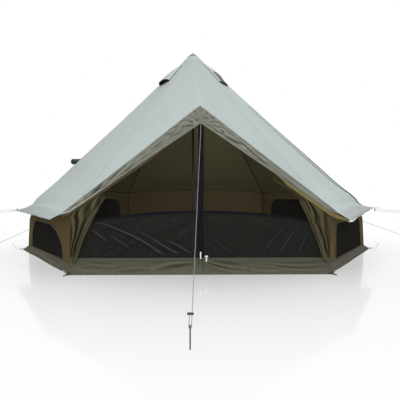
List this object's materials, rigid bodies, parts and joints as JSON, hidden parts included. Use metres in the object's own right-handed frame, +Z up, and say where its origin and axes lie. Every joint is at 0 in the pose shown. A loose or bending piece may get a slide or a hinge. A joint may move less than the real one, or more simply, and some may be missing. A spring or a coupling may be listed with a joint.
{
  "type": "hot tent",
  "caption": "Six-sided bell tent on a centre pole, with a mesh door front under rolled-back flaps, low windowed walls, roof vents, a flue port and guylines.",
  "frame": {"origin": "on the ground at the middle of the plan and of the groundsheet's underside, 60 mm to the right of the pole", "axes": "+Z up, the door faces -Y, +X to the right of someone who looks at the door"},
  "size_m": [6.338, 6.7482, 2.72],
  "materials": {
    "roof_canvas": "sage canvas, matt",
    "band_canvas": "olive grey canvas, matt",
    "wall_canvas": "brown canvas, matt",
    "insect_mesh": "fine black mesh",
    "dense_mesh": "dense black mesh",
    "zip_tape": "navy woven tape",
    "skirt_cloth": "dark olive coated cloth",
    "floor_cloth": "dark coated cloth",
    "jack_panel": "dark heat-proof cloth",
    "pole_tube": "dark satin steel",
    "black_plastic": "matt moulded",
    "white_pull": "off-white moulded",
    "grey_cord": "blue grey braided cord",
    "tan_cord": "tan braided cord",
    "peg_steel": "dark steel"
  },
  "bodies": {
    "tent": {"door_band_left": "band_canvas", "door_band_right": "band_canvas", "door_flap_left": "wall_canvas", "door_flap_right": "wall_canvas", "door_mesh_left": "insect_mesh", "door_mesh_right": "insect_mesh", "door_panel_left": "dense_mesh", "door_panel_right": "dense_mesh", "door_sill": "skirt_cloth", "door_zip": "zip_tape", "front_wall_left": "wall_canvas", "front_wall_right": "wall_canvas", "groundsheet": "floor_cloth", "guyline_front": "grey_cord", "guyline_left_eave": "tan_cord", "guyline_left_wall": "tan_cord", "guyline_right_eave": "tan_cord", "guyline_right_wall": "tan_cord", "peg_front_left": "peg_steel", "peg_front_right": "peg_steel", "peg_side_left": "peg_steel", "peg_side_right": "peg_steel", "pole_head": "black_plastic", "pole_lower": "pole_tube", "pole_upper": "pole_tube", "roof_back": "roof_canvas", "roof_back_left": "roof_canvas", "roof_back_right": "roof_canvas", "roof_cap": "roof_canvas", "roof_front": "roof_canvas", "roof_front_left": "roof_canvas", "roof_front_right": "roof_canvas", "skirt": "skirt_cloth", "stake_front": "peg_steel", "stake_left": "peg_steel", "stake_right": "peg_steel", "stove_jack": "jack_panel", "stove_jack_cover": "roof_canvas", "vent_hood_left": "roof_canvas", "vent_hood_right": "roof_canvas", "vent_mesh_left": "insect_mesh", "vent_mesh_right": "insect_mesh", "wall_back": "wall_canvas", "wall_back_left": "wall_canvas", "wall_back_right": "wall_canvas", "wall_front_left": "wall_canvas", "wall_front_right": "wall_canvas", "window_back_left": "insect_mesh", "window_back_right": "insect_mesh", "window_front_left": "insect_mesh", "window_front_right": "insect_mesh"},
    "runner_front": {"runner_front": "black_plastic"},
    "runner_left": {"runner_left": "black_plastic"},
    "runner_right": {"runner_right": "black_plastic"},
    "slider_door": {"slider_door": "white_pull"},
    "slider_sill": {"slider_sill": "white_pull"},
    "pull_door": {"pull_door": "white_pull"},
    "pull_sill": {"pull_sill": "white_pull"},
    "vent_prop_left": {"vent_prop_left": "black_plastic"},
    "vent_prop_right": {"vent_prop_right": "black_plastic"}
  },
  "joints": [
    {"name": "runner_front_slide", "type": "slide", "parent": "tent", "child": "runner_front", "axis": [0.0385, 0.8421, 0.538], "range_m": [0, 1.6]},
    {"name": "runner_left_slide", "type": "slide", "parent": "tent", "child": "runner_left", "axis": [0.9966, 0, 0.0819], "range_m": [0, 0.08]},
    {"name": "runner_right_slide", "type": "slide", "parent": "tent", "child": "runner_right", "axis": [-0.9966, 0, 0.0819], "range_m": [0, 0.08]},
    {"name": "door_zip_slide", "type": "slide", "parent": "tent", "child": "slider_door", "axis": [0, -0.1612, 0.9869], "range_m": [0, 1.1]},
    {"name": "sill_zip_slide", "type": "slide", "parent": "tent", "child": "slider_sill", "axis": [1, 0, 0], "range_m": [0, 1.05]},
    {"name": "door_pull_swing", "type": "hinge", "parent": "slider_door", "child": "pull_door", "pos_m": [0, -2.18141, 0.205], "axis": [-1, 0, 0], "range_deg": [0, 150]},
    {"name": "sill_pull_swing", "type": "hinge", "parent": "slider_sill", "child": "pull_sill", "pos_m": [0.055, -2.17675, 0.1765], "axis": [-1, 0, 0], "range_deg": [0, 150]},
    {"name": "vent_prop_left_fold", "type": "hinge", "parent": "tent", "child": "vent_prop_left", "pos_m": [-0.39691, -0.16348, 2.31401], "axis": [0.4977, -0.8656, 0.055], "range_deg": [0, 78]},
    {"name": "vent_prop_right_fold", "type": "hinge", "parent": "tent", "child": "vent_prop_right", "pos_m": [0.29205, -0.16571, 2.31801], "axis": [0.5008, 0.8638, -0.0549], "range_deg": [0, 78]}
  ]
}
